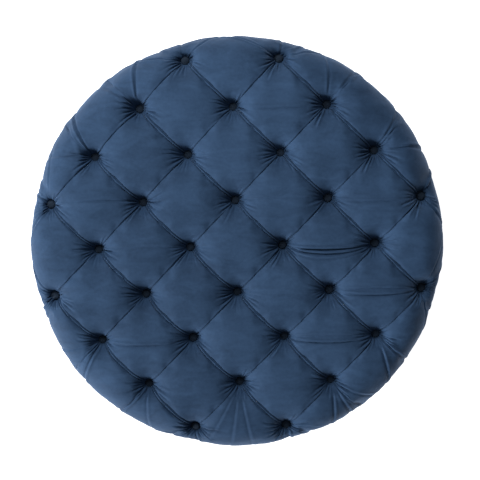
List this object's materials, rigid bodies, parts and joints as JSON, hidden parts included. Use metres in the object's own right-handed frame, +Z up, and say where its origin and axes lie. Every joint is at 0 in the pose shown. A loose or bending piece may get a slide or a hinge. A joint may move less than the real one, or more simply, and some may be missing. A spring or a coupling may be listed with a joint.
{
  "type": "tufted seat cushion",
  "caption": "Round, deep-buttoned seat cushion in velvet on its own plywood board, for a large stool, ottoman or pouffe.",
  "frame": {"origin": "centre of the underside, on the plane that the cushion stands on", "axes": "+Z up through the seat, +X along the rows of buttons"},
  "size_m": [0.9, 0.9, 0.14],
  "materials": {
    "velvet": "short-pile velvet, slight sheen",
    "velvet_button": "velvet-covered button",
    "polyester_fibre": "loose fibre",
    "soft_foam": "open-cell foam",
    "firm_foam": "open-cell foam",
    "plywood": "sanded birch plywood",
    "dust_cloth": "spunbond cloth",
    "waxed_twine": "waxed",
    "zinc_steel": "zinc plated",
    "wire": "galvanised"
  },
  "bodies": {
    "root": {"tee_nuts": "zinc_steel", "base_board": "plywood", "dust_cover": "dust_cloth", "button_row_1": "velvet_button", "button_row_2": "velvet_button", "button_row_3": "velvet_button", "button_row_4": "velvet_button", "button_row_5": "velvet_button", "button_row_6": "velvet_button", "button_row_7": "velvet_button", "button_row_8": "velvet_button", "button_row_9": "velvet_button", "button_eyes": "wire", "tufting_twine": "waxed_twine", "base_foam": "firm_foam", "tufting_foam": "soft_foam", "fibre_batting": "polyester_fibre", "velvet_cover": "velvet", "twine_staples": "wire", "cover_staples": "wire", "dust_cover_staples": "wire"}
  },
  "joints": []
}
